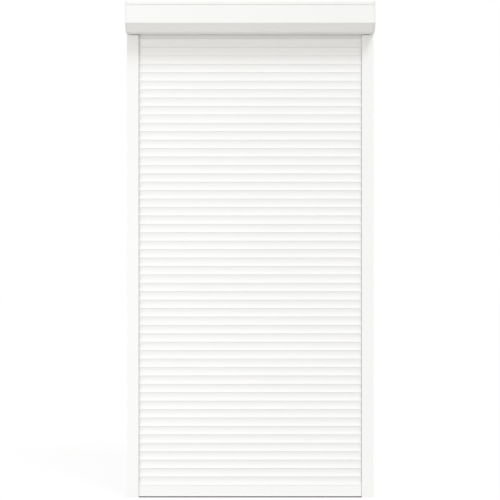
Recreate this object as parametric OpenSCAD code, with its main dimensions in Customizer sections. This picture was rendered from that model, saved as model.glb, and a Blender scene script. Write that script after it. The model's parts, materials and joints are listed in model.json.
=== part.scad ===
// Exterior roller shutter, closed: a box with a 45 degree lower front edge, a curtain of hooked
// slats, two guide rails, and a motor-driven winding shaft.
// X runs across the opening, +Y points into the wall and +Z up. The origin lies on the wall
// plane, at sill height, in the middle of the width. All sizes are in millimetres.

/* [Overall] */
// Width over the box and over both guide rails
shutter_w = 1200; // [1000:10:1600]
// Groups of slats in the curtain, which set the height
section_count = 18; // [8:1:19]
// Slats in one group
section_slats = 3; // [2:1:3]

/* [Slats] */
// Height that one slat covers
slat_pitch = 41; // [38:0.5:43]
// Slot between two slats
slat_gap = 0.8; // [0.4:0.1:1]
// Thickness of a slat's body
slat_t = 6.2; // [6:0.1:7]
// Depth of the slat's hollow front
slat_sag = 3.2; // [1:0.1:3.4]
// Wall of the hollow slat
slat_wall = 0.9; // [0.7:0.1:1.1]
// Diameter of the head on a slat's hook
head_d = 3.2; // [3:0.1:3.4]
// Thickness of the neck below that head
neck_t = 1.2; // [1:0.1:1.4]
// Room around a hook in its pocket
hook_play = 0.5; // [0.4:0.05:0.6]
// Height of the hook's head above the slot between two slats
hook_reach = 4.2; // [3.8:0.1:5]

/* [Bottom bar] */
// Height of the bottom bar
bar_h = 54; // [45:1:60]
// Wall of the bottom bar
bar_wall = 1.6; // [1.2:0.1:2]
// Height of the ledge along its lower front edge
ledge_h = 5; // [3:0.5:8]
// Depth of that ledge
ledge_d = 1.5; // [1:0.1:2]
// Room between the ledge's ends and the guide rails
ledge_room = 2; // [2:0.5:4]
// Visible height of the sealing strip
strip_h = 6; // [3:0.5:8]
// Width of the groove that holds the strip
strip_groove = 4.6; // [4.2:0.1:5]
// Height of that groove
strip_groove_h = 2.6; // [2.2:0.1:3]
// Width of the groove's mouth
strip_neck = 2.6; // [2.2:0.1:3]
// Thickness of the bar's end caps
bar_cap_t = 1.2; // [1:0.1:1.4]
// Length of the tongues on these caps
bar_tongue_l = 15; // [10:1:30]

/* [Guide rails] */
// Width of a guide rail, seen from the front
guide_w = 57; // [52:1:66]
// Depth of a guide rail
guide_d = 23; // [22:0.5:26]
// Wall of a guide rail
guide_wall = 1.6; // [1.4:0.1:2]
// Radius of a guide rail's outer edges
guide_r = 1.2; // [0.5:0.1:1.3]
// Depth of the channel that holds the slats
channel_d = 36.4; // [32:0.2:38]
// Distance from the rail's front to the slats
slat_recess = 6.5; // [6:0.1:7]
// Play between a slat's end and the channel's web
end_play = 2.4; // [2.2:0.1:4]
// Width of the lips at the channel's mouth
lip_w = 8.4; // [8:0.1:10]
// Depth of these lips
lip_d = 2.8; // [2.6:0.1:3]
// Width of the hooks that hold a sealing strip in its lip
hook_w = 0.8; // [0.6:0.1:1]
// Thickness of these hooks
hook_t = 0.6; // [0.5:0.1:0.8]
// How far the fin on a front sealing strip shows beside its rail
fin_w = 1.2; // [0.5:0.1:1.6]
// Thickness of that fin
fin_t = 1.2; // [0.8:0.1:1.4]
// Play of strips and plugs in their seats
seal_play = 0.2; // [0.1:0.05:0.25]
// Diameter of the fixing holes in the outer wall
fixing_d = 6.5; // [5:0.1:8]
// Diameter of the access holes in the web
access_d = 12; // [10:0.5:14]
// Height of the lowest and highest fixing above the sill and below the box
fixing_edge = 150; // [80:5:250]
// Fixings on each rail
fixing_count = 4; // [2:2:6]
// Depth of the plug in the rail's foot
foot_h = 20; // [12:1:40]
// Gap between a rail's top and the box
guide_gap = 2.5; // [0.3:0.1:3]
// Height of the inlets on the rails, inside the box
inlet_h = 45; // [30:1:60]
// Thickness of an inlet's jaws
jaw_t = 2.4; // [1.6:0.1:2.6]
// Radius of an inlet's front jaw
jaw_r = 14; // [12:0.5:16]
// Room between a jaw and the slats
jaw_play = 1.2; // [0.8:0.1:1.4]
// Degrees of bend in the front jaw
jaw_sweep = 72; // [50:1:85]
// Length of an inlet's leg in its rail
leg_l = 22; // [15:1:30]
// Room between an inlet and what stands beside or above it
inlet_room = 2; // [1:0.5:4]

/* [Box] */
// Height of the box
box_h = 146.5; // [145:0.5:180]
// Depth of the box
box_d = 150; // [148:1:180]
// Size of the 45 degree face, measured along the front
box_chamfer = 39.5; // [36:0.5:46]
// Radius of the upper front edge
box_edge_r = 5; // [3:1:18]
// Thickness of the cover sheets
cover_t = 1.2; // [1:0.1:1.4]
// Thickness of the end caps
cap_t = 7; // [6:0.5:9]
// Radius around an end cap's outer face
cap_r = 3.5; // [2:0.5:5.5]
// How far the end caps stand proud of the sheets
rim = 0.6; // [0.5:0.1:1]
// Width of the flat rim around an end cap's outer face
cap_rim = 9; // [8:0.5:14]
// Depth of the field inside that rim
cap_field = 1.2; // [0.8:0.1:1.5]
// Skin of an end cap in front of its bracket screws
cap_skin = 1; // [0.8:0.1:1.5]
// Length of the ledges that carry the sheets
seat_l = 14; // [12:1:20]
// Thickness of these ledges
seat_t = 3; // [2:0.1:4]
// Distance from the box's top to the groove between top and front cover
groove_drop = 19.4; // [19:0.2:30]
// Width of that groove
groove_w = 1.5; // [1:0.1:3]
// Depth of that groove
groove_d = 3; // [1.6:0.1:4]
// Reach of the folded strip behind the groove, to either side of it
lap_h = 8; // [6:0.5:12]
// Height of the fold along the slot
fold_h = 5.5; // [4:0.5:6]
// Room between the rails' fronts and that fold
slot_room = 1.6; // [1:0.1:3]
// Height of the closed curtain's top inside the box
slat_in_box = 20.5; // [18:0.5:26]
// Length of the spigots in the guide rails
spigot_l = 50; // [30:1:80]
// Height of the spigots' tops inside the box
spigot_top = 6; // [4:0.5:10]

/* [Shaft] */
// Width of the octagonal shaft across its flats
shaft_af = 40; // [38:0.5:44]
// Wall of the shaft
shaft_wall = 1; // [0.8:0.1:1.2]
// Length of the plugs in the shaft
plug_l = 60; // [40:1:80]
// Length of the crown ring in the shaft
crown_l = 22; // [15:1:40]
// Thickness of the flanges on crown and idler plug
flange_t = 2; // [1.5:0.1:3]
// How far these flanges stand out over the shaft's flats
flange_rim = 2; // [1.8:0.1:3]

/* [Motor] */
// Length of the motor tube
motor_l = 420; // [300:5:480]
// Wall of the motor tube
motor_wall = 1.5; // [1.2:0.1:2]
// Room between motor tube and shaft
motor_room = 1.5; // [1.2:0.1:2]
// Length of the motor's gearbox
gearbox_l = 120; // [80:5:160]
// Diameter of the output shaft
output_d = 12; // [10:0.5:14]
// Length of the output shaft in the gearbox
output_in = 40; // [20:1:60]
// Length of the drive wheel
wheel_l = 26; // [20:1:40]
// Diameter of the motor's head
motor_head_d = 46; // [45:0.5:56]
// Length of the motor's head
motor_head_l = 20; // [16:1:30]
// Length of the spigot that holds the head in the tube
head_spigot_l = 30; // [20:1:50]
// Side of the square stud on the head
stud_w = 12; // [10:0.5:14]
// Width of the lock clip on that stud
clip_w = 30; // [24:1:36]
// Thickness of the lock clip
clip_t = 1.4; // [1:0.1:1.6]

/* [Bearing and brackets] */
// Bore of the ball bearing
bearing_bore = 12; // [10:0.5:14]
// Outer diameter of the ball bearing
bearing_od = 28; // [26:0.5:32]
// Width of the ball bearing
bearing_w = 8; // [7:0.5:10]
// Balls in the bearing
ball_count = 8; // [6:1:8]
// How far the cage stays inside the bearing's faces
cage_inset = 1; // [0.8:0.1:1.2]
// Wall of the housing around the bearing
housing_wall = 4; // [3:0.5:6]
// Room between that housing and the shaft
housing_room = 8; // [5:0.5:15]
// Width and height of the two brackets
bracket_w = 76; // [70:1:84]
// Thickness of the brackets
bracket_t = 4; // [3:0.5:6]
// Distance between bracket screws
bracket_pitch = 60; // [54:1:64]
// Diameter of the bracket screws
screw_d = 5; // [4:0.5:5.5]
// Height of the heads on the bracket screws
screw_head_h = 3; // [2.5:0.1:3.5]

/* [Hangers] */
// Hangers along the shaft
hanger_count = 3; // [2:1:4]
// Distance between hangers, which shrinks where they would reach past the opening
hanger_pitch = 380; // [200:10:420]
// Width of a hanger's upper link
link_w = 40; // [30:1:60]
// Thickness of the links
link_t = 5; // [4:0.5:5.5]
// Diameter of the hangers' pins
link_pin_d = 4; // [3:0.5:4]
// Diameter of the eyes around these pins
eye_d = 9; // [8:0.5:10]
// Thickness of the ears beside the links
ear_t = 6; // [4:0.5:10]
// Wall of the clips around the shaft
clip_wall = 2.8; // [2:0.1:3]
// Angle of the clips' ears to the horizontal
ear_angle = -15; // [-20:1:-10]
// Bend of the links out of a straight line
link_bow = 6; // [4:0.5:7]

/* [Small parts and fits] */
// Diameter of the front cover's screws
cover_screw_d = 3; // [2.5:0.1:3.5]
// Height of the heads on these screws
cover_head_h = 1.2; // [1:0.1:1.5]
// Diameter of the rivets
rivet_d = 3.2; // [3:0.1:4]
// Height of the rivets' heads
rivet_head_h = 0.5; // [0.3:0.1:0.5]
// Length of the rivets and screws behind the ledges
fastener_tail = 1.5; // [1:0.1:2]
// Distance of the box's screws and rivets from the edges of their faces
fastener_edge = 20; // [15:1:25]
// Diameter of the hole in the cable grommet
cable_d = 6.4; // [5:0.1:8]
// Wall of the cable grommet
grommet_wall = 3; // [2:0.1:4]
// Rim of the cable grommet's flanges
grommet_rim = 2.5; // [2:0.1:3]
// Thickness of its inner flange
grommet_flange_t = 2; // [1.5:0.1:3]
// Distance of the grommet from the box's back and underside
grommet_edge = 30; // [28:1:34]
// Clearance between separate pieces
fit = 0.3; // [0.25:0.05:0.4]
// Radial clearance of turning fits
run = 0.05; // [0.02:0.01:0.08]

/* [Hidden] */
$fn = 64;
slat_fn = 360;
cap_steps = 4;
shaft_sides = 8;
half_side = 180 / shaft_sides;
eps = 0.01;
past = 1;
paint = [0.96, 0.96, 0.955];
aluminium = [0.8, 0.81, 0.82];
zinc = [0.66, 0.68, 0.7];
steel = [0.6, 0.61, 0.63];
black = [0.1, 0.1, 0.11];
grey = [0.3, 0.3, 0.31];

// Slat: its front is an arc around a centre in front of it
slat_h = slat_pitch - slat_gap;
slat_r = (pow(slat_h / 2, 2) + pow(slat_sag, 2)) / (2 * slat_sag);
curtain_t = slat_t + slat_sag;
function slat_front(v) = sqrt(pow(slat_r, 2) - pow(v - slat_pitch / 2, 2)) - slat_r + slat_sag;
hook_u = slat_front(hook_reach) + slat_t / 2;
pocket_d = head_d + 2 * hook_play;
mouth_w = neck_t + 2 * hook_play;
cavity_v = hook_reach + pocket_d / 2 + slat_wall;

// Heights
bar_z = strip_h;
bar_top = bar_z + bar_h;
bar_floor = bar_z + 2 * bar_wall + strip_groove_h;
section_h = section_slats * slat_pitch;
curtain_top = bar_top + section_count * section_h;
box_z = curtain_top - slat_in_box;
box_top = box_z + box_h;
groove_z = box_top - groove_drop - groove_w;
guide_h = box_z - guide_gap;

// Depths and widths
half_w = shutter_w / 2;
curtain_y = -guide_d + slat_recess;
guide_x = half_w - guide_w;
web_x = guide_x + channel_d;
slat_half = web_x - end_play;
cap_x = half_w - cap_t;
cover_half = cap_x - fit;
seat_x = cap_x - seat_l;
fold_half = seat_x - 3 * fit;
slot_y = -guide_d - slot_room;
jaw_front = curtain_y - jaw_play;
jaw_rear = curtain_y + curtain_t + jaw_play;
rear_flange = -jaw_rear - jaw_t - fit;
rear_flange_half = web_x + guide_wall;
sheet = rim + cover_t;
seat = sheet + fit;
lap_in = rim + groove_d;
slant = sqrt(2) - 1;

// Guide seals: a T-shaped foot in a pocket of the lip, and a stem that reaches to the slats
pocket_x = guide_x + guide_wall;
pocket_w = lip_w - 2 * guide_wall;

// Shaft line
axis_y = -box_d / 2;
axis_z = box_z + box_h / 2;
motor_d = shaft_af - 2 * shaft_wall - 2 * motor_room;
bore_af = shaft_af - 2 * shaft_wall - 2 * run;
flange_d = shaft_af + 2 * flange_rim;
bracket_x = cap_x - bracket_t;
head_x = bracket_x - clip_t - 2 * fit;
tube_x = head_x - motor_head_l;
shaft_right = tube_x - flange_t - 2 * fit;
output_x = tube_x - motor_l;
wheel_x = output_x - fit - wheel_l;
bearing_x = bracket_x - fit;
housing_l = bearing_w + 2 * fit;
pin_d = bearing_bore - 2 * run;
shaft_left = bracket_x - housing_l - housing_room;
pin_out = bearing_x - shaft_left;

// Ball bearing
pitch_d = (bearing_bore + bearing_od) / 2;
ball_d = 0.3 * (bearing_od - bearing_bore);
groove_r = ball_d / 2 + run;
shoulder = 0.1875 * (bearing_od - bearing_bore) / 2;
cage_half = shoulder - fit;

// Hangers: the two links lie on a bent line from the clip's pin to the top slat's hook
ear_r = shaft_af / 2 / cos(half_side) + fit + clip_wall + eye_d / 2 + 2 * fit;
pin_a = [axis_y + ear_r * cos(ear_angle), axis_z + ear_r * sin(ear_angle)];
pin_c = [curtain_y + hook_u, curtain_top + hook_reach];
link_dir = (pin_c - pin_a) / norm(pin_c - pin_a);
pin_b = (pin_a + pin_c) / 2 + link_bow * [-link_dir[1], link_dir[0]];
hanger_full = link_w + 2 * fit + 2 * ear_t;
hanger_room = 2 * (guide_x - inlet_room) - hanger_full;
hanger_step = min(hanger_pitch, hanger_room / (hanger_count - 1));
hanger_x = [for (i = [0:hanger_count - 1]) (i - (hanger_count - 1) / 2) * hanger_step];

// Fasteners
fixing_z = [for (i = [0:fixing_count - 1])
    fixing_edge + i * (guide_h - 2 * fixing_edge) / (fixing_count - 1)];
cover_screw_y = [slot_y - fastener_edge, -box_d + box_chamfer + fastener_edge];
rivet_y = [-2 * fastener_edge, -box_d + box_edge_r + fastener_edge];
rivet_z = [box_z + inlet_h + inlet_room + fastener_edge, box_top - fastener_edge];
fastener_x = cap_x - seat_l / 2;
bracket_screws_at = [for (s = [-1, 1], t = [-1, 1]) [s, t] * bracket_pitch / 2];
screw_grip = cap_t - cap_field - cap_skin;
pan_d = 2 * screw_d;
cover_head_d = 2 * cover_screw_d;
rivet_head_d = 2 * rivet_d;
rivet_tail_d = 1.6 * rivet_d;
grommet_at = [-grommet_edge, box_z + grommet_edge];

// Names of the nodes
slat_names = [for (i = [1:section_count]) str("slats_", i < 10 ? "0" : "", i)];

// Helpers

// Extrudes a shape drawn in (y, z) along X
module along_x(x, length) {
    translate([x, 0, 0]) rotate([90, 0, 90]) linear_extrude(length) children();
}

// Puts a piece on the right (1) or mirrors it to the left (-1)
module on_side(side) {
    if (side > 0) children();
    else mirror([1, 0, 0]) children();
}

// Turns a piece drawn along Z onto the shaft's axis, from x towards +X
module on_axis(x) {
    translate([x, axis_y, axis_z]) rotate([0, 90, 0]) children();
}

module octagon(across_flats) {
    rotate(half_side) circle(r = across_flats / 2 / cos(half_side), $fn = shaft_sides);
}

module ring(outer_d, inner_d, length) {
    difference() {
        cylinder(d = outer_d, h = length);
        translate([0, 0, -past]) cylinder(d = inner_d, h = length + 2 * past);
    }
}

// A bar with the given thickness between two points of a plane
module bar_between(a, b, thickness) {
    translate(a) rotate(atan2(b[1] - a[1], b[0] - a[0]))
        translate([0, -thickness / 2]) square([norm(b - a), thickness]);
}

// Curtain

// Part of a slat's curved wall, from depth t0 to t1 and from height v0 to v1
module slat_band(t0, t1, v0, v1) {
    intersection() {
        translate([slat_sag - slat_r, slat_pitch / 2]) difference() {
            circle(r = slat_r + t1, $fn = slat_fn);
            circle(r = slat_r + t0, $fn = slat_fn);
        }
        translate([-curtain_t, v0]) square([3 * curtain_t, v1 - v0]);
    }
}

// The hook that stands on the upper edge at height v
module hook(v) {
    translate([hook_u, v + hook_reach]) circle(d = head_d);
    translate([hook_u - neck_t / 2, v - slat_gap / 2 - slat_wall / 2])
        square([neck_t, hook_reach + slat_gap / 2 + slat_wall / 2]);
}

// The pocket at the lower edge that takes the hook of the piece below
module hook_pocket() {
    translate([hook_u, hook_reach]) circle(d = pocket_d);
    translate([hook_u - mouth_w / 2, -past]) square([mouth_w, hook_reach + past]);
}

module slat_profile() {
    difference() {
        slat_band(0, slat_t, slat_gap / 2, slat_pitch - slat_gap / 2);
        slat_band(slat_wall, slat_t - slat_wall, cavity_v, slat_pitch - slat_gap / 2 - slat_wall);
        hook_pocket();
    }
    hook(slat_pitch);
}

module slat_section(i) {
    color(paint) for (j = [0:section_slats - 1])
        translate([0, curtain_y, bar_top + (i - 1) * section_h + j * slat_pitch])
            along_x(-slat_half, 2 * slat_half) slat_profile();
}

// The groove under the bottom bar, or with a play the foot of the strip in it
module strip_foot(play) {
    mid = curtain_t / 2;
    foot_w = strip_groove - 2 * play;
    neck_w = strip_neck - 2 * play;
    translate([mid - foot_w / 2, bar_z + bar_wall + play])
        square([foot_w, strip_groove_h - 2 * play]);
    translate([mid - neck_w / 2, bar_z - past]) square([neck_w, bar_wall + 2 * past]);
}

module bottom_bar() {
    ledge_half = guide_x - ledge_room;
    color(paint) translate([0, curtain_y, 0]) {
        along_x(-slat_half, 2 * slat_half) {
            difference() {
                translate([0, bar_z]) square([curtain_t, bar_h - slat_gap / 2]);
                translate([bar_wall, bar_floor])
                    square([curtain_t - 2 * bar_wall, bar_top - slat_gap / 2 - bar_wall - bar_floor]);
                strip_foot(0);
            }
            hook(bar_top);
        }
        along_x(-ledge_half, 2 * ledge_half)
            translate([-ledge_d, bar_z]) square([ledge_d + eps, ledge_h]);
    }
}

module bottom_seal() {
    inset = 0.5;
    tip_r = 1.5;
    strip_w = curtain_t - 2 * inset;
    color(grey) translate([0, curtain_y, 0]) along_x(-slat_half, 2 * slat_half) {
        strip_foot(seal_play);
        translate([inset, tip_r]) square([strip_w, bar_z - tip_r - seal_play]);
        translate([inset + tip_r, 0]) square([strip_w - 2 * tip_r, tip_r + eps]);
        for (u = [inset + tip_r, curtain_t - inset - tip_r]) translate([u, tip_r]) circle(r = tip_r);
    }
}

// Caps that close the bottom bar's ends, each with a tongue in its hollow
module bottom_bar_end_caps() {
    tongue_w = curtain_t - 2 * bar_wall - 2 * fit;
    tongue_z = bar_floor + bar_wall;
    color(grey) for (side = [-1, 1]) on_side(side) translate([0, curtain_y, 0]) {
        along_x(slat_half + eps, bar_cap_t)
            translate([0, bar_z]) square([curtain_t, bar_h - slat_gap / 2]);
        along_x(slat_half - bar_tongue_l, bar_tongue_l + 2 * eps)
            translate([(curtain_t - tongue_w) / 2, tongue_z])
                square([tongue_w, bar_top - slat_gap / 2 - 2 * bar_wall - tongue_z]);
    }
}

// Guide rails

module rounded_rect(size, r) {
    translate([r, 0]) square([size[0] - 2 * r, size[1]]);
    translate([0, r]) square([size[0], size[1] - 2 * r]);
    for (x = [r, size[0] - r], y = [r, size[1] - r]) translate([x, y]) circle(r = r);
}

// One lip's ribs, drawn from the wall's inner face towards the slats
module lip_ribs() {
    for (x = [0, lip_w - guide_wall]) translate([x, -eps]) square([guide_wall, lip_d + eps]);
    for (x = [guide_wall - eps, lip_w - guide_wall - hook_w])
        translate([x, lip_d - hook_t]) square([hook_w + eps, hook_t]);
}

module guide_profile() {
    inner_d = guide_d - 2 * guide_wall;
    chamber_w = guide_w - channel_d - 2 * guide_wall;
    translate([guide_x, -guide_d]) difference() {
        rounded_rect([guide_w, guide_d], guide_r);
        translate([-past, guide_wall]) square([channel_d + past, inner_d]);
        translate([channel_d + guide_wall, guide_wall]) square([chamber_w, inner_d]);
    }
    translate([guide_x, -guide_d + guide_wall]) lip_ribs();
    translate([guide_x, -guide_wall]) mirror([0, 1]) lip_ribs();
}

module guide(side) {
    color(paint) on_side(side) difference() {
        linear_extrude(guide_h) guide_profile();
        for (z = fixing_z) translate([0, -guide_d / 2, z]) rotate([0, 90, 0]) {
            translate([0, 0, half_w - guide_wall - past])
                cylinder(d = fixing_d, h = guide_wall + 2 * past);
            translate([0, 0, web_x - past]) cylinder(d = access_d, h = guide_wall + 2 * past);
        }
    }
}

// A sealing strip in its lip's pocket, with a stem of the given reach
module lip_seal(reach) {
    stem_w = pocket_w - 2 * hook_w - 2 * seal_play;
    translate([seal_play, seal_play]) square([pocket_w - 2 * seal_play, lip_d - hook_t - 2 * seal_play]);
    translate([(pocket_w - stem_w) / 2, seal_play]) square([stem_w, reach - seal_play]);
}

module guide_seals(side) {
    front_reach = slat_recess - guide_wall - fit;
    rear_reach = guide_d - slat_recess - curtain_t - guide_wall - fit;
    color(grey) on_side(side) linear_extrude(guide_h) {
        translate([pocket_x, -guide_d + guide_wall]) {
            lip_seal(front_reach);
            translate([-guide_wall - fin_w, front_reach - fin_t])
                square([guide_wall + fin_w + pocket_w / 2, fin_t]);
        }
        translate([pocket_x, -guide_wall]) mirror([0, 1]) lip_seal(rear_reach);
    }
}

// Funnel on the rail's top: a straight rear jaw and a front jaw that bends forward to the shaft
module guide_inlet(side) {
    side_x = web_x + fit;
    leg_t = end_play - bar_cap_t - 2 * fit;
    jaw_x = guide_x + inlet_room;
    arc_y = jaw_front - jaw_t - jaw_r;
    color(grey) on_side(side) translate([0, 0, guide_h + eps]) {
        along_x(jaw_x, side_x + guide_wall - jaw_x) {
            translate([jaw_rear, 0]) square([jaw_t, inlet_h]);
            intersection() {
                translate([arc_y, 0]) difference() {
                    circle(r = jaw_r + jaw_t);
                    circle(r = jaw_r);
                }
                translate([arc_y + jaw_r * cos(jaw_sweep), 0]) square([jaw_r, jaw_r + jaw_t]);
            }
        }
        along_x(side_x, guide_wall) translate([jaw_front - jaw_t, 0])
            square([jaw_rear - jaw_front + 2 * jaw_t, jaw_r]);
        along_x(web_x - leg_t - fit, leg_t) translate([curtain_y, -leg_l])
            square([curtain_t, leg_l + jaw_r]);
        along_x(web_x - leg_t - fit, leg_t + 2 * fit + eps)
            translate([curtain_y, 0]) square([curtain_t, jaw_r]);
    }
}

// Plug in the outer chamber of a rail's foot
module guide_foot(side) {
    plug_wall = 2;
    plug_w = guide_w - channel_d - 2 * guide_wall - 2 * seal_play;
    plug_d = guide_d - 2 * guide_wall - 2 * seal_play;
    color(grey) on_side(side)
        translate([web_x + guide_wall + seal_play, -guide_d + guide_wall + seal_play, 0])
            difference() {
                cube([plug_w, plug_d, foot_h]);
                translate([plug_wall, plug_wall, plug_wall])
                    cube([plug_w - 2 * plug_wall, plug_d - 2 * plug_wall, foot_h]);
            }
}

// Box

// Side outline of the box in (y, z), drawn smaller by the given inset
module box_outline(inset) {
    r = max(box_edge_r - inset, eps);
    difference() {
        polygon([
            [-inset, box_z + inset],
            [-box_d + box_chamfer + inset * slant, box_z + inset],
            [-box_d + inset, box_z + box_chamfer + inset * slant],
            [-box_d + inset, box_top - inset],
            [-inset, box_top - inset]
        ]);
        translate([-box_d + box_edge_r, box_top - box_edge_r]) difference() {
            translate([-r - past, 0]) square([r + past, r + past]);
            circle(r = r);
        }
    }
}

// Closed ring along the box's outline, between two insets
module box_ring(outer, inner) {
    difference() {
        box_outline(outer);
        box_outline(inner);
    }
}

// The ledge inside the sheets, open where the rails' inlets stand
module cap_seat() {
    difference() {
        box_ring(seat, seat + seat_t);
        translate([slot_y, box_z]) square([-slot_y, inlet_h + inlet_room]);
    }
}

module end_cap(side) {
    spigot_x = web_x + guide_wall + 2 * fit;
    spigot_w = half_w - guide_wall - 2 * fit - spigot_x;
    spigot_d = guide_d - 2 * guide_wall - 4 * fit;
    color(paint) on_side(side) difference() {
        union() {
            hull() for (i = [0:cap_steps]) let (turn = 90 * i / cap_steps)
                along_x(cap_x, cap_t - cap_r * (1 - sin(turn))) box_outline(cap_r * (1 - cos(turn)));
            along_x(seat_x, seat_l + eps) cap_seat();
            translate([spigot_x, -guide_d + guide_wall + 2 * fit, box_z - spigot_l])
                cube([spigot_w, spigot_d, spigot_l + spigot_top]);
        }
        along_x(half_w - cap_field, cap_field + past) box_outline(cap_rim);
        along_x(seat_x - past, seat_l + cap_t + 2 * past) translate([-box_d - past, groove_z])
            square([past + lap_in, groove_w]);
        for (p = bracket_screws_at) on_axis(cap_x - past) translate([p[0], p[1], 0])
            cylinder(d = screw_d + 2 * run, h = screw_grip + past + fit);
        cover_fasteners(run, 0);
        if (side > 0) grommet_hole(grommet_wall);
    }
}

// Screws under the box and rivets above and behind it, widened by a clearance; without heads
// they serve as holes
module cover_fasteners(clear, heads) {
    for (y = cover_screw_y) translate([fastener_x, y, box_z]) cover_screw(clear, heads);
    for (y = rivet_y) translate([fastener_x, y, box_top]) mirror([0, 0, 1]) rivet(clear, heads);
    for (z = rivet_z) translate([fastener_x, 0, z]) rotate([90, 0, 0]) rivet(clear, heads);
}

// Cover screw, with its head under the sheet at the rim's depth
module cover_screw(clear, heads) {
    tip = seat + seat_t + fastener_tail;
    translate([0, 0, rim - 2 * eps]) cylinder(d = cover_screw_d + 2 * clear, h = tip - rim);
    if (heads) translate([0, 0, rim - eps - cover_head_h])
        cylinder(d = cover_head_d, h = cover_head_h);
}

// Blind rivet, with a flat head on the sheet and a closing head behind the ledge
module rivet(clear, heads) {
    behind = seat + seat_t + eps;
    translate([0, 0, rim - 2 * eps])
        cylinder(d = rivet_d + 2 * clear, h = behind - rim + fastener_tail);
    if (heads) {
        translate([0, 0, rim - eps - rivet_head_h]) cylinder(d = rivet_head_d, h = rivet_head_h);
        translate([0, 0, behind]) cylinder(d = rivet_tail_d, h = fastener_tail);
    }
}

// Both ends of what fastens a cover
module at_both_ends() {
    for (side = [-1, 1]) on_side(side) children();
}

module box_rear_panel() {
    color(paint) difference() {
        union() {
            along_x(-cover_half, 2 * cover_half)
                translate([-sheet, box_z + rim]) square([cover_t, box_h - 2 * rim]);
            along_x(-rear_flange_half, 2 * rear_flange_half)
                translate([-rear_flange, box_z + rim]) square([rear_flange - rim, cover_t]);
        }
        at_both_ends() cover_fasteners(2 * run, 0);
    }
}

module box_top_cover() {
    color(paint) difference() {
        along_x(-cover_half, 2 * cover_half) intersection() {
            box_ring(rim, sheet);
            translate([-box_d, box_top - groove_drop]) square([box_d - seat, groove_drop]);
        }
        at_both_ends() cover_fasteners(2 * run, 0);
    }
}

module box_front_cover() {
    color(paint) difference() {
        union() {
            along_x(-cover_half, 2 * cover_half) intersection() {
                box_ring(rim, sheet);
                translate([-box_d, box_z]) square([box_d + slot_y, groove_z - box_z]);
            }
            along_x(-fold_half, 2 * fold_half) {
                intersection() {
                    box_ring(lap_in, lap_in + cover_t);
                    translate([-box_d, groove_z - lap_h]) square([box_d / 2, 2 * lap_h + groove_w]);
                }
                translate([-box_d + rim, groove_z - lap_h]) square([groove_d + cover_t, cover_t]);
                translate([slot_y - cover_t, box_z + rim]) square([cover_t, fold_h]);
            }
        }
        at_both_ends() cover_fasteners(2 * run, 0);
    }
}

module cover_screws() {
    color(zinc) at_both_ends()
        for (y = cover_screw_y) translate([fastener_x, y, box_z]) cover_screw(0, 1);
}

module cover_rivets() {
    color(paint) at_both_ends() {
        for (y = rivet_y) translate([fastener_x, y, box_top]) mirror([0, 0, 1]) rivet(0, 1);
        for (z = rivet_z) translate([fastener_x, 0, z]) rotate([90, 0, 0]) rivet(0, 1);
    }
}

// The grommet's place in the right end cap, with the given wall around the cable
module grommet_hole(wall) {
    translate([cap_x - cap_t, grommet_at[0], grommet_at[1]]) rotate([0, 90, 0])
        cylinder(d = cable_d + 2 * wall, h = 3 * cap_t);
}

module cable_grommet() {
    body_d = cable_d + 2 * grommet_wall - 2 * run;
    rim_d = body_d + 2 * grommet_rim;
    inner = -grommet_flange_t - eps;
    outer = cap_t - cap_field + eps;
    color(black) difference() {
        translate([cap_x, grommet_at[0], grommet_at[1]]) rotate([0, 90, 0]) {
            translate([0, 0, inner]) cylinder(d = body_d, h = outer - inner);
            translate([0, 0, inner]) cylinder(d = rim_d, h = grommet_flange_t);
            translate([0, 0, outer]) cylinder(d = rim_d, h = cap_field - fit);
        }
        grommet_hole(0);
    }
}

// Shaft, motor and bearing

module octagonal_shaft() {
    color(zinc) on_axis(-shaft_left) linear_extrude(shaft_left + shaft_right) difference() {
        octagon(shaft_af);
        octagon(shaft_af - 2 * shaft_wall);
    }
}

// Plug in the shaft's left end, with a flange against the shaft
module idler_plug() {
    color(black) on_axis(-shaft_left) difference() {
        union() {
            linear_extrude(plug_l) octagon(bore_af);
            translate([0, 0, -flange_t - eps]) cylinder(d = flange_d, h = flange_t);
            translate([0, 0, -2 * eps]) cylinder(d = 2 * bearing_bore, h = plug_l);
        }
        translate([0, 0, -flange_t - past]) cylinder(d = bearing_bore, h = plug_l + flange_t + 2 * past);
    }
}

module idler_pin() {
    color(steel) on_axis(-bearing_x) cylinder(d = pin_d, h = pin_out + plug_l);
}

// Wheel that the motor turns, a push fit in the shaft
module drive_wheel() {
    color(black) on_axis(wheel_x) difference() {
        linear_extrude(wheel_l) octagon(bore_af);
        translate([0, 0, -past]) cylinder(d = output_d + 2 * run, h = wheel_l + 2 * past);
    }
}

// Ring that turns on the motor tube and centres the shaft's right end
module motor_crown() {
    color(black) on_axis(shaft_right - crown_l) difference() {
        union() {
            linear_extrude(crown_l + flange_t / 2) octagon(bore_af);
            translate([0, 0, crown_l + eps]) cylinder(d = flange_d, h = flange_t);
        }
        translate([0, 0, -past]) cylinder(d = motor_d + 2 * run, h = crown_l + flange_t + 2 * past);
    }
}

module motor_output_shaft() {
    color(steel) on_axis(wheel_x) cylinder(d = output_d, h = wheel_l + fit + output_in);
}

module motor_tube() {
    color(aluminium) on_axis(output_x) ring(motor_d, motor_d - 2 * motor_wall, motor_l);
}

// Gearbox in the motor tube, with the output shaft's bearing
module motor_gearbox() {
    color(steel) on_axis(output_x) difference() {
        cylinder(d = motor_d - 2 * motor_wall - 2 * run, h = gearbox_l);
        translate([0, 0, -past]) cylinder(d = output_d + 2 * run, h = output_in + fit + past);
    }
}

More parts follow.
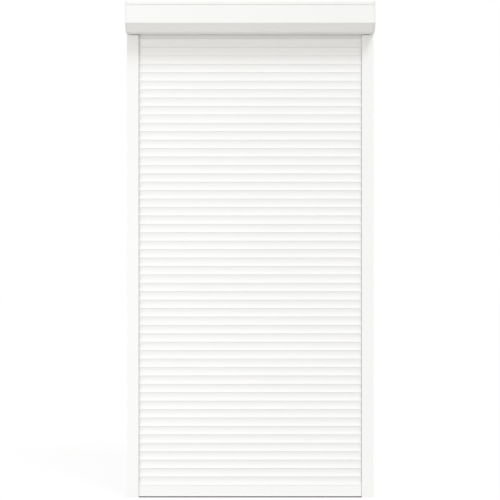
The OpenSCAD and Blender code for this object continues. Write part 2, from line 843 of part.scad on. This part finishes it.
// Head with the spigot in the motor tube and the square stud in the bracket
module motor_head() {
    spigot_d = motor_d - 2 * motor_wall - 2 * run;
    color(black) on_axis(tube_x + eps) {
        translate([0, 0, -head_spigot_l]) cylinder(d = spigot_d, h = head_spigot_l + past);
        cylinder(d = motor_head_d, h = motor_head_l);
        translate([-stud_w / 2, -stud_w / 2, motor_head_l - past])
            cube([stud_w, stud_w, cap_x - head_x + past - fit]);
    }
}

// Spring plate that is pushed over the stud
module motor_lock_clip() {
    color(zinc) on_axis(head_x + fit) linear_extrude(clip_t) difference() {
        translate([-clip_w / 2, -clip_w / 2]) square([clip_w, clip_w]);
        translate([-stud_w / 2 - run, -stud_w / 2 - run]) square([clip_w, stud_w + 2 * run]);
    }
}

// Bracket plate on an end cap, drawn along the axis with its screw holes
module bracket_plate() {
    difference() {
        translate([-bracket_w / 2, -bracket_w / 2, 0]) cube([bracket_w, bracket_w, bracket_t]);
        for (p = bracket_screws_at) translate([p[0], p[1], -past])
            cylinder(d = screw_d + 2 * fit, h = bracket_t + 2 * past);
    }
}

// Motor's bracket, with a notch where its corner would meet the cable grommet's flange
module motor_bracket() {
    color(zinc) difference() {
        on_axis(bracket_x) bracket_plate();
        on_axis(bracket_x - past) translate([-stud_w / 2 - run, -stud_w / 2 - run, 0])
            cube([stud_w + 2 * run, stud_w + 2 * run, bracket_t + 2 * past]);
        grommet_hole(grommet_wall + grommet_rim);
    }
}

module bearing_bracket() {
    seat_d = bearing_od + 2 * run;
    color(zinc) on_axis(-cap_x) {
        bracket_plate();
        translate([0, 0, bracket_t - eps]) ring(seat_d + 2 * housing_wall, seat_d, housing_l + eps);
    }
}

// Pan-head screws of both brackets
module bracket_screws() {
    color(zinc) at_both_ends() for (p = bracket_screws_at)
        on_axis(bracket_x) translate([p[0], p[1], 0]) {
            translate([0, 0, -screw_head_h - eps]) cylinder(d = pan_d, h = screw_head_h);
            translate([0, 0, -2 * eps]) cylinder(d = screw_d, h = bracket_t + screw_grip);
        }
}

// One race of the bearing between two diameters, with the balls' groove
module race(outer_d, inner_d) {
    on_axis(-bearing_x) difference() {
        ring(outer_d, inner_d, bearing_w);
        translate([0, 0, bearing_w / 2]) rotate_extrude()
            translate([pitch_d / 2, 0]) circle(r = groove_r);
    }
}

module bearing_outer_race() {
    color(steel) race(bearing_od, pitch_d + 2 * shoulder);
}

module bearing_inner_race() {
    color(steel) race(pitch_d - 2 * shoulder, bearing_bore);
}

// Places on the balls' pitch circle, with local X pointing outward
module at_balls() {
    on_axis(-bearing_x) for (i = [0:ball_count - 1]) rotate(i * 360 / ball_count)
        translate([pitch_d / 2, 0, bearing_w / 2]) children();
}

module bearing_balls() {
    color(steel) at_balls() sphere(d = ball_d);
}

// Ring between the races, drilled for the balls
module bearing_cage() {
    cage_w = bearing_w - 2 * cage_inset;
    color(black) difference() {
        on_axis(-bearing_x + cage_inset) ring(pitch_d + 2 * cage_half, pitch_d - 2 * cage_half, cage_w);
        at_balls() translate([-2 * cage_half, 0, 0]) rotate([0, 90, 0])
            cylinder(d = ball_d + 4 * run, h = 4 * cage_half);
    }
}

// Hangers

// Repeats a hanger's piece along the shaft, drawn in (y, z) over a width
module at_hangers(width) {
    for (x = hanger_x) along_x(x - width / 2, width) children();
}

// Clear space for the link's eye around a pin
module eye_room(at) {
    translate(at) circle(d = eye_d + 4 * fit);
}

module hanger_clips() {
    ring_d = shaft_af / cos(half_side) + 2 * (fit + clip_wall);
    axis = [axis_y, axis_z];
    color(black) difference() {
        at_hangers(hanger_full) difference() {
            union() {
                translate(axis) circle(d = ring_d);
                translate(pin_a) circle(d = eye_d);
                bar_between(axis, pin_a, eye_d);
            }
            translate(axis) octagon(shaft_af + 2 * fit);
            translate(pin_a) circle(d = link_pin_d + 2 * run);
        }
        at_hangers(link_w + 2 * fit) eye_room(pin_a);
    }
}

module hanger_upper_links() {
    color(black) at_hangers(link_w) difference() {
        union() {
            for (p = [pin_a, pin_b]) translate(p) circle(d = eye_d);
            bar_between(pin_a, pin_b, link_t);
        }
        for (p = [pin_a, pin_b]) translate(p) circle(d = link_pin_d + 2 * run);
    }
}

// Lower link, with the pocket that holds the top slat's hook
module hanger_lower_links() {
    color(black) difference() {
        at_hangers(hanger_full) difference() {
            union() {
                for (p = [pin_b, pin_c]) translate(p) circle(d = eye_d);
                bar_between(pin_b, pin_c, link_t);
            }
            translate(pin_b) circle(d = link_pin_d + 2 * run);
            translate([curtain_y, curtain_top]) hook_pocket();
            translate([curtain_y, curtain_top - eye_d])
                square([2 * curtain_t, eye_d + slat_gap / 2]);
        }
        at_hangers(link_w + 2 * fit) eye_room(pin_b);
    }
}

module hanger_pins() {
    color(steel) at_hangers(hanger_full)
        for (p = [pin_a, pin_b]) translate(p) circle(d = link_pin_d);
}

for (i = [1:section_count]) slat_section(i);
bottom_bar();
bottom_seal();
bottom_bar_end_caps();
guide(-1);  // guide_left
guide(1);  // guide_right
guide_seals(-1);  // guide_seals_left
guide_seals(1);  // guide_seals_right
guide_inlet(-1);  // guide_inlet_left
guide_inlet(1);  // guide_inlet_right
guide_foot(-1);  // guide_foot_left
guide_foot(1);  // guide_foot_right
end_cap(-1);  // end_cap_left
end_cap(1);  // end_cap_right
box_rear_panel();
box_top_cover();
box_front_cover();
cover_screws();
cover_rivets();
cable_grommet();
octagonal_shaft();
idler_plug();
idler_pin();
drive_wheel();
motor_crown();
motor_output_shaft();
motor_tube();
motor_gearbox();
motor_head();
motor_lock_clip();
motor_bracket();
bearing_bracket();
bracket_screws();
bearing_outer_race();
bearing_inner_race();
bearing_balls();
bearing_cage();
hanger_clips();
hanger_upper_links();
hanger_lower_links();
hanger_pins();
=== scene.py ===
"""Looks of an exterior roller shutter: white coated aluminium outside, rubber seals, and the
steel and plastic inside."""
import json
import math

import bpy
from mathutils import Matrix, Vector


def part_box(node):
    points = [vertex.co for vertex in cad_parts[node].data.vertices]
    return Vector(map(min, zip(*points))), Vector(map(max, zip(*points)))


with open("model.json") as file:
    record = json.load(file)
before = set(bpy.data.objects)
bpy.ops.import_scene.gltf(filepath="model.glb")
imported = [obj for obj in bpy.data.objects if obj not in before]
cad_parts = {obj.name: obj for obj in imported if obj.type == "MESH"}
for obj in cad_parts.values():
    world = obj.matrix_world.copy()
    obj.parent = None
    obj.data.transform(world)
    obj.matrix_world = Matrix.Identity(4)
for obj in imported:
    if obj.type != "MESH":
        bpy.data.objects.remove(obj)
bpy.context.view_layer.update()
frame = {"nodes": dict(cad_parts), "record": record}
scene = bpy.context.scene

# Camera: level, in front of the middle of the curtain, in metres
CAMERA_SIDE = -0.001
CAMERA_HEIGHT = 1.205
CAMERA_DISTANCE = 7.713
LENS_MM = 113.8
SENSOR_MM = 36

# Key light: soft, from the upper right, with its angles in degrees
KEY_ELEVATION = 48
KEY_AZIMUTH = 24
KEY_ANGLE = 18
KEY_DISTANCE = 6
KEY_STRENGTH = 0.93
KEY_TINT = (0.9, 1.0, 1.03)

# Fill light: weak, from the left
FILL_PLACE = (-4.0, -3.2, 1.2)
FILL_SIZE = 2.0
FILL_WATTS = 37

# Surround: its strength changes with height from nadir over horizon to zenith
SURROUND_TINT = (1.028, 1.0, 0.992, 1)
NADIR = 0.45
HORIZON = 0.9
ZENITH = 0.79

# Floor: white to the eye, apart from a share of the shadow that falls on it
WHITE = (1, 1, 1, 1)
FLOOR_ALBEDO = 0.97
FLOOR_SIZE = 60
SHADOW_SHARE = 0.15

# Materials: colours are linear and lengths in metres
MICRON = 1e-6
PAINT = (0.9, 0.9, 0.883)
# The end caps' paint is darker than the box's: painted shade that stands in for the shade on the
# caps' rims
CAP_PAINT_WITH_SHADE = (0.87, 0.87, 0.853)
RIVET_PAINT = (0.88, 0.88, 0.863)
SLATS_IN_GROUP = 3

# Where most values of a noise texture lie
NOISE_LOW = 0.3
NOISE_HIGH = 0.7


class Graph:
    """A node tree with short calls to add nodes and join them."""

    def __init__(self, tree):
        self.tree = tree
        tree.nodes.clear()

    def add(self, kind, inputs=None, **settings):
        """Adds a node; an input is a value to set or another node's output to link."""
        node = self.tree.nodes.new(kind)
        for name, value in settings.items():
            setattr(node, name, value)
        for key, value in (inputs or {}).items():
            if isinstance(value, bpy.types.NodeSocket):
                self.tree.links.new(value, node.inputs[key])
            else:
                node.inputs[key].default_value = value
        return node

    def math(self, operation, first, second=0.0):
        return self.add("ShaderNodeMath", {0: first, 1: second}, operation=operation).outputs[0]

    def spread(self, value, low, high, start=0.0, end=1.0):
        """Maps a value from start..end to low..high."""
        node = self.add("ShaderNodeMapRange", {"Value": value, "From Min": start, "From Max": end,
                                               "To Min": low, "To Max": high})
        return node.outputs["Result"]

    def vary(self, noise, low, high):
        """Maps a noise texture to low..high."""
        return self.spread(noise, low, high, NOISE_LOW, NOISE_HIGH)

    def place(self, stretch=(1, 1, 1)):
        """The piece's own coordinates in metres, stretched along its axes."""
        coords = self.add("ShaderNodeTexCoord").outputs["Object"]
        return self.add("ShaderNodeMapping", {"Vector": coords, "Scale": stretch}).outputs["Vector"]

    def noise(self, vector, scale, detail=2.0, roughness=0.5):
        node = self.add("ShaderNodeTexNoise", {"Vector": vector, "Scale": scale, "Detail": detail,
                                               "Roughness": roughness})
        return node.outputs["Fac"]

    def tint(self, colour, factor):
        """A constant colour times a factor that varies over the surface."""
        node = self.add("ShaderNodeVectorMath", {0: colour, "Scale": factor}, operation="SCALE")
        return node.outputs["Vector"]

    def bump(self, height, distance, strength=1.0, normal=None):
        inputs = {"Height": height, "Distance": distance, "Strength": strength}
        if normal is not None:
            inputs["Normal"] = normal
        return self.add("ShaderNodeBump", inputs).outputs["Normal"]


def material(name, shade):
    """A material whose shade function fills in a Principled shader's inputs."""
    made = bpy.data.materials.new(name)
    made.use_nodes = True
    graph = Graph(made.node_tree)
    shader = graph.add("ShaderNodeBsdfPrincipled", shade(graph))
    graph.add("ShaderNodeOutputMaterial", {"Surface": shader.outputs["BSDF"]})
    return made


# Paint finishes


def powder_coat(colour, roughness, peel):
    """Baked powder paint: a fine orange peel and hardly visible clouds."""
    def shade(graph):
        here = graph.place()
        clouds = graph.noise(here, scale=3.0, detail=3.0)
        skin = graph.noise(here, scale=650.0, detail=1.0)
        return {
            "Base Color": graph.tint(colour, graph.vary(clouds, 0.985, 1.0)),
            "Roughness": graph.vary(clouds, roughness - 0.04, roughness + 0.04),
            "Normal": graph.bump(skin, peel),
        }
    return shade


def coil_coat(colour, roughness, pitch, start):
    """Roll-formed slats: each a touch different, slightly wavy along its length."""
    def shade(graph):
        here = graph.place()
        height = graph.add("ShaderNodeSeparateXYZ", {"Vector": here}).outputs["Z"]
        above = graph.math("SUBTRACT", height, start)
        number = graph.math("FLOOR", graph.math("DIVIDE", above, pitch))
        chance = graph.add("ShaderNodeTexWhiteNoise", {"W": number}, noise_dimensions="1D")
        clouds = graph.noise(graph.place((1.5, 1, 6)), scale=2.0, detail=2.0)
        slat_level = graph.spread(chance.outputs["Value"], 0.994, 1.0)
        level = graph.math("MULTIPLY", slat_level, graph.vary(clouds, 0.99, 1.0))
        waves = graph.noise(graph.place((5, 1, 12)), scale=1.0, detail=1.0)
        skin = graph.noise(here, scale=900.0, detail=1.0)
        wavy = graph.bump(waves, 200 * MICRON)
        return {
            "Base Color": graph.tint(colour, level),
            "Roughness": graph.vary(clouds, roughness - 0.03, roughness + 0.05),
            "Normal": graph.bump(skin, 10 * MICRON, normal=wavy),
        }
    return shade


# Rubber and plastic


def rubber(colour, grain):
    """Extruded rubber: dull, dusty in places and drawn along its length."""
    def shade(graph):
        dust = graph.noise(graph.place(), scale=60.0, detail=4.0, roughness=0.6)
        lines = graph.noise(graph.place((4, 900, 900)), scale=1.0, detail=2.0)
        return {
            "Base Color": graph.tint(colour, graph.vary(dust, 0.85, 1.25)),
            "Roughness": graph.vary(dust, 0.65, 0.85),
            "Normal": graph.bump(lines, grain),
        }
    return shade


def moulded_plastic(colour, roughness):
    """Injection-moulded plastic with a spark-eroded grain."""
    def shade(graph):
        here = graph.place()
        grain = graph.add("ShaderNodeTexVoronoi", {"Vector": here, "Scale": 1400.0})
        flow = graph.noise(here, scale=25.0, detail=3.0)
        return {
            "Base Color": graph.tint(colour, graph.vary(flow, 0.92, 1.08)),
            "Roughness": graph.vary(flow, roughness - 0.06, roughness + 0.06),
            "Normal": graph.bump(grain.outputs["Distance"], 30 * MICRON, strength=0.6),
        }
    return shade


# Metals


def galvanised(colour):
    """Hot-dip galvanised sheet with its crystal spangle."""
    def shade(graph):
        cells = graph.add("ShaderNodeTexVoronoi", {"Vector": graph.place(), "Scale": 110.0})
        shades = graph.add("ShaderNodeSeparateColor", {"Color": cells.outputs["Color"]})
        spangle = shades.outputs["Red"]
        return {
            "Base Color": graph.tint(colour, graph.spread(spangle, 0.9, 1.05)),
            "Metallic": 1.0,
            "Roughness": graph.spread(spangle, 0.36, 0.46),
            "Normal": graph.bump(cells.outputs["Distance"], 40 * MICRON, strength=0.4),
        }
    return shade


def worked_steel(colour, roughness, stretch, depth):
    """Steel with the fine lines that drawing, turning or brushing leaves."""
    def shade(graph):
        lines = graph.noise(graph.place(stretch), scale=1.0, detail=3.0, roughness=0.6)
        clouds = graph.noise(graph.place(), scale=30.0, detail=2.0)
        return {
            "Base Color": graph.tint(colour, graph.vary(clouds, 0.92, 1.05)),
            "Metallic": 1.0,
            "Roughness": graph.vary(lines, roughness - 0.05, roughness + 0.08),
            "Normal": graph.bump(lines, depth),
        }
    return shade


# The slats' pitch, from the stacked groups between the bottom bar and the topmost slat
groups = [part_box(name) for name in frame["nodes"] if name.startswith("slats_")]
curtain_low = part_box("bottom_bar")[1].z
curtain_high = max(high.z for low, high in groups)
slat_pitch = (curtain_high - curtain_low) / (SLATS_IN_GROUP * len(groups))

FINISHES = {
    "slat_paint": coil_coat(PAINT, roughness=0.42, pitch=slat_pitch, start=curtain_low),
    "bar_paint": powder_coat(PAINT, roughness=0.4, peel=20 * MICRON),
    "rail_paint": powder_coat(PAINT, roughness=0.4, peel=20 * MICRON),
    # The caps' paint carries painted shade for their rims
    "cap_paint": powder_coat(CAP_PAINT_WITH_SHADE, roughness=0.45, peel=30 * MICRON),
    "box_paint": powder_coat(PAINT, roughness=0.42, peel=20 * MICRON),
    "rivet_paint": powder_coat(RIVET_PAINT, roughness=0.38, peel=10 * MICRON),
    "seal_rubber": rubber((0.065, 0.065, 0.068), grain=50 * MICRON),
    "rail_seal": rubber((0.5, 0.5, 0.51), grain=50 * MICRON),
    "black_rubber": rubber((0.03, 0.03, 0.032), grain=30 * MICRON),
    "grey_plastic": moulded_plastic((0.35, 0.35, 0.36), roughness=0.5),
    "black_plastic": moulded_plastic((0.04, 0.04, 0.043), roughness=0.45),
    "galvanised_steel": galvanised((0.6, 0.61, 0.63)),
    "zinc_steel": worked_steel((0.62, 0.63, 0.65), roughness=0.35, stretch=(300, 300, 300),
                               depth=10 * MICRON),
    "bright_steel": worked_steel((0.6, 0.6, 0.61), roughness=0.2, stretch=(1500, 40, 40),
                                 depth=10 * MICRON),
    "motor_steel": worked_steel((0.5, 0.51, 0.53), roughness=0.32, stretch=(6, 700, 700),
                                depth=20 * MICRON),
}
finished = {slot: material(slot, shade) for slot, shade in FINISHES.items()}
for part in frame["record"]["subparts"]:
    for place in frame["nodes"][part["node"]].material_slots:
        place.material = finished[part["material_slot"]]


# Stage


def seen_directly(graph):
    """1 for camera, mirror and glass rays, 0 for the light that falls on surfaces."""
    path = graph.add("ShaderNodeLightPath").outputs
    direct = graph.math("MAXIMUM", path["Is Camera Ray"], path["Is Glossy Ray"])
    return graph.math("MAXIMUM", direct, path["Is Transmission Ray"])


def surround():
    """White where it is seen, and graded where it lights the object."""
    world = bpy.data.worlds.new("surround")
    scene.world = world
    world.use_nodes = True
    graph = Graph(world.node_tree)
    direction = graph.add("ShaderNodeTexCoord").outputs["Generated"]
    rise = graph.add("ShaderNodeSeparateXYZ", {"Vector": direction}).outputs["Z"]
    below = graph.spread(rise, NADIR, HORIZON, -1.0, 0.0)
    above = graph.spread(rise, 0.0, ZENITH - HORIZON)
    strength = graph.math("ADD", below, above)
    graded = graph.add("ShaderNodeBackground", {"Color": SURROUND_TINT, "Strength": strength})
    white = graph.add("ShaderNodeBackground", {"Color": WHITE, "Strength": 1.0})
    sky = graph.add("ShaderNodeMixShader", {0: seen_directly(graph), 1: graded.outputs[0],
                                            2: white.outputs[0]})
    graph.add("ShaderNodeOutputWorld", {"Surface": sky.outputs[0]})


def floor():
    """White, with a trace of the object's shadow; the surround lights the object through it."""
    half = FLOOR_SIZE / 2
    mesh = bpy.data.meshes.new("floor")
    corners = [(-half, -half, 0), (half, -half, 0), (half, half, 0), (-half, half, 0)]
    mesh.from_pydata(corners, [], [(0, 1, 2, 3)])
    ground = bpy.data.objects.new("floor", mesh)
    scene.collection.objects.link(ground)
    finish = bpy.data.materials.new("floor")
    finish.use_nodes = True
    graph = Graph(finish.node_tree)
    direct = seen_directly(graph)
    diffuse = graph.add("ShaderNodeBsdfDiffuse", {"Color": (FLOOR_ALBEDO,) * 3 + (1,)}).outputs[0]
    glow = graph.add("ShaderNodeEmission", {"Color": WHITE, "Strength": 1.0}).outputs[0]
    share = graph.math("MULTIPLY", direct, 1 - SHADOW_SHARE)
    mixed = graph.add("ShaderNodeMixShader", {0: share, 1: diffuse, 2: glow})
    graph.add("ShaderNodeOutputMaterial", {"Surface": mixed.outputs[0]})
    mesh.materials.append(finish)
    ground.visible_diffuse = False
    ground.visible_shadow = False


def lamp(name, kind, place, target, **settings):
    """A lamp at a place, turned to its target."""
    light = bpy.data.lights.new(name, kind)
    for key, value in settings.items():
        setattr(light, key, value)
    holder = bpy.data.objects.new(name, light)
    holder.location = place
    holder.rotation_euler = (Vector(target) - Vector(place)).to_track_quat("-Z", "Y").to_euler()
    scene.collection.objects.link(holder)


def lights():
    rise, turn = math.radians(KEY_ELEVATION), math.radians(KEY_AZIMUTH)
    level = math.cos(rise)
    towards = Vector((level * math.sin(turn), -level * math.cos(turn), math.sin(rise)))
    middle = Vector((0, 0, CAMERA_HEIGHT))
    lamp("key", "SUN", middle + KEY_DISTANCE * towards, middle, energy=KEY_STRENGTH,
         color=KEY_TINT, angle=math.radians(KEY_ANGLE))
    lamp("fill", "AREA", FILL_PLACE, middle, energy=FILL_WATTS, shape="DISK", size=FILL_SIZE)


def camera():
    lens = bpy.data.cameras.new("camera")
    lens.lens = LENS_MM
    lens.sensor_width = SENSOR_MM
    holder = bpy.data.objects.new("camera", lens)
    holder.location = (CAMERA_SIDE, -CAMERA_DISTANCE, CAMERA_HEIGHT)
    holder.rotation_euler = (math.pi / 2, 0, 0)
    scene.collection.objects.link(holder)
    scene.camera = holder


surround()
floor()
lights()
camera()
scene.view_settings.view_transform = "Standard"
